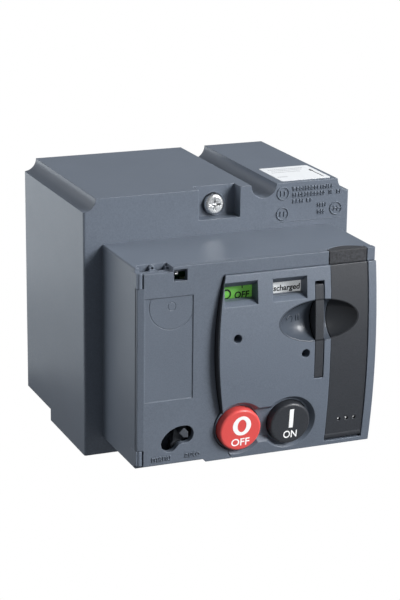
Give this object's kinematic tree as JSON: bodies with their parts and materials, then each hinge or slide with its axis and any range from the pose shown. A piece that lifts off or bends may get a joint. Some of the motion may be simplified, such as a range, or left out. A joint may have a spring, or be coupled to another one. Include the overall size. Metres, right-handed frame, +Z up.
{
  "type": "circuit breaker motor operator",
  "caption": "Stored-energy electric operator for a moulded-case circuit breaker: stepped grey block with push-buttons, flag windows, charging handle and hinged terminal door.",
  "frame": {"origin": "on the rear mounting face, at the axis of the breaker's toggle", "axes": "+Z up, +Y out of the rear face towards the breaker, +X to the operator's right seen from the front"},
  "size_m": [0.105, 0.11, 0.0972],
  "materials": {
    "rear_moulding": "fine grain",
    "nose_moulding": "fine grain",
    "door_moulding": "fine grain",
    "black_moulding": "fine grain",
    "grip_moulding": "coarse grain",
    "selector_moulding": "fine grain",
    "red_moulding": "satin",
    "label_sheet": "printed film",
    "clear_plastic": "clear",
    "green_moulding": "satin",
    "white_moulding": "satin",
    "bright_steel": "bright zinc",
    "zinc_steel": "zinc plated",
    "spring_steel": "drawn wire",
    "gear_steel": "machined",
    "bronze": "sintered",
    "cast_zinc": "cast",
    "carriage_moulding": "glass-filled",
    "motor_can_steel": "plated",
    "switch_moulding": "satin",
    "board_laminate": "solder mask",
    "terminal_moulding": "satin"
  },
  "bodies": {
    "case": {"rear_housing": "rear_moulding", "front_housing": "nose_moulding", "front_fascia": "nose_moulding", "crescent_trim": "black_moulding", "door_hinge_pin": "bright_steel", "seal_loop": "bright_steel", "top_label": "label_sheet", "position_window": "clear_plastic", "charge_window": "clear_plastic", "flag_bracket": "zinc_steel", "flag_axle": "bright_steel", "handle_pin": "bright_steel", "off_spring": "spring_steel", "on_spring": "spring_steel", "button_bridge": "black_moulding", "button_switches": "switch_moulding", "mode_switch": "switch_moulding", "selector_screw": "bright_steel", "base_plate": "zinc_steel", "side_plate_left": "zinc_steel", "side_plate_right": "zinc_steel", "spacer_posts": "bright_steel", "shaft_bushes": "bronze", "motor": "motor_can_steel", "motor_screws": "bright_steel", "idler_shaft": "bright_steel", "holding_pawl_pin": "bright_steel", "lever_shaft": "bright_steel", "guide_rods": "bright_steel", "closing_springs": "spring_steel", "latch_pin": "bright_steel", "control_board": "board_laminate", "terminal_block": "terminal_moulding", "terminal_screws": "bright_steel", "top_screw": "bright_steel", "lower_screws": "bright_steel", "case_screws": "bright_steel", "fascia_screws": "bright_steel"},
    "door": {"terminal_door": "door_moulding"},
    "handle": {"charging_handle": "black_moulding", "handle_grip": "grip_moulding", "charging_pawl_pin": "bright_steel"},
    "drive_pawl": {"charging_pawl": "gear_steel"},
    "padlock_slide": {"padlock_tab": "black_moulding"},
    "off_key": {"off_button": "red_moulding"},
    "on_key": {"on_button": "black_moulding"},
    "selector": {"mode_selector": "selector_moulding"},
    "toggle_slider": {"toggle_carriage": "carriage_moulding"},
    "position_indicator": {"position_flag": "green_moulding"},
    "yoke": {"spring_yoke": "cast_zinc"},
    "charge_indicator": {"charge_flag": "white_moulding"},
    "lever": {"charging_lever": "gear_steel"},
    "shaft": {"main_shaft": "bright_steel", "main_gear": "gear_steel", "ratchet_wheel": "gear_steel"},
    "idler": {"idler_gear": "gear_steel"},
    "rotor": {"motor_pinion": "gear_steel"},
    "stop_pawl": {"holding_pawl": "gear_steel"},
    "latch": {"close_latch": "gear_steel"}
  },
  "joints": [
    {"name": "door_hinge", "type": "hinge", "parent": "case", "child": "door", "pos_m": [-0.0443, -0.1048, 0], "axis": [0, 0, -1], "range_deg": [0, 110]},
    {"name": "handle_hinge", "type": "hinge", "parent": "case", "child": "handle", "pos_m": [0.036, -0.1044, -0.0242], "axis": [1, 0, 0], "range_deg": [0, 75], "stiffness_Nm_per_rad": 0.06, "springref_deg": -22.92},
    {"name": "drive_pawl_hinge", "type": "hinge", "parent": "handle", "child": "drive_pawl", "pos_m": [0.036, -0.0904, -0.0218], "axis": [1, 0, 0], "range_deg": [0, 12], "stiffness_Nm_per_rad": 0.004, "springref_deg": -17.19},
    {"name": "padlock_slide_joint", "type": "slide", "parent": "case", "child": "padlock_slide", "axis": [0, -1, 0], "range_m": [0, 0.012]},
    {"name": "off_press", "type": "slide", "parent": "case", "child": "off_key", "axis": [0, 0.9922, 0.1247], "range_m": [0, 0.003], "stiffness_N_per_m": 400, "springref_m": -0.004, "deforming": ["off_spring"]},
    {"name": "on_press", "type": "slide", "parent": "case", "child": "on_key", "axis": [0, 0.9922, 0.1247], "range_m": [0, 0.003], "stiffness_N_per_m": 400, "springref_m": -0.004, "deforming": ["on_spring"]},
    {"name": "selector_turn", "type": "hinge", "parent": "case", "child": "selector", "pos_m": [-0.0282, -0.104, -0.0222], "axis": [0, -1, 0], "range_deg": [0, 68.3]},
    {"name": "toggle_travel", "type": "slide", "parent": "case", "child": "toggle_slider", "axis": [0, 0, 1], "range_m": [0, 0.022]},
    {"name": "position_flag_turn", "type": "hinge", "parent": "case", "child": "position_indicator", "pos_m": [-0.005, -0.0925, 0.0332], "axis": [1, 0, 0], "range_deg": [0, 62.01]},
    {"name": "yoke_travel", "type": "slide", "parent": "case", "child": "yoke", "axis": [0, 0, 1], "range_m": [0, 0.018], "stiffness_N_per_m": 1500, "springref_m": -0.012, "deforming": ["closing_springs"]},
    {"name": "charge_flag_turn", "type": "hinge", "parent": "case", "child": "charge_indicator", "pos_m": [0.012, -0.0925, 0.0332], "axis": [1, 0, 0], "range_deg": [0, 62.01]},
    {"name": "lever_turn", "type": "hinge", "parent": "case", "child": "lever", "pos_m": [0, -0.052, 0.00559], "axis": [1, 0, 0], "range_deg": [0, 47]},
    {"name": "shaft_turn", "type": "hinge", "parent": "case", "child": "shaft", "pos_m": [0, -0.074, -0.004], "axis": [1, 0, 0], "range_deg": [-141, 0]},
    {"name": "idler_turn", "type": "hinge", "parent": "case", "child": "idler", "pos_m": [-0.031, -0.06134, 0.01276], "axis": [1, 0, 0], "range_deg": [0, 352]},
    {"name": "motor_turn", "type": "hinge", "parent": "case", "child": "rotor", "pos_m": [-0.031, -0.052, 0.04], "axis": [1, 0, 0], "range_deg": [-1759, 0]},
    {"name": "stop_pawl_hinge", "type": "hinge", "parent": "case", "child": "stop_pawl", "pos_m": [0.036, -0.056, 0.008], "axis": [1, 0, 0], "range_deg": [0, 8], "stiffness_Nm_per_rad": 0.004, "springref_deg": -17.19},
    {"name": "latch_hinge", "type": "hinge", "parent": "case", "child": "latch", "pos_m": [0, -0.034, -0.014], "axis": [-1, 0, 0], "range_deg": [0, 6], "stiffness_Nm_per_rad": 0.02, "springref_deg": -17.19}
  ],
  "couplings": [
    {"joint": "position_flag_turn", "follows": "toggle_travel", "rad_per_m": 49.187},
    {"joint": "charge_flag_turn", "follows": "yoke_travel", "rad_per_m": 60.117},
    {"joint": "lever_turn", "follows": "yoke_travel", "rad_per_m": 45.455},
    {"joint": "shaft_turn", "follows": "yoke_travel", "rad_per_m": -136.36},
    {"joint": "idler_turn", "follows": "yoke_travel", "rad_per_m": 340.91},
    {"joint": "motor_turn", "follows": "yoke_travel", "rad_per_m": -1704.5}
  ]
}
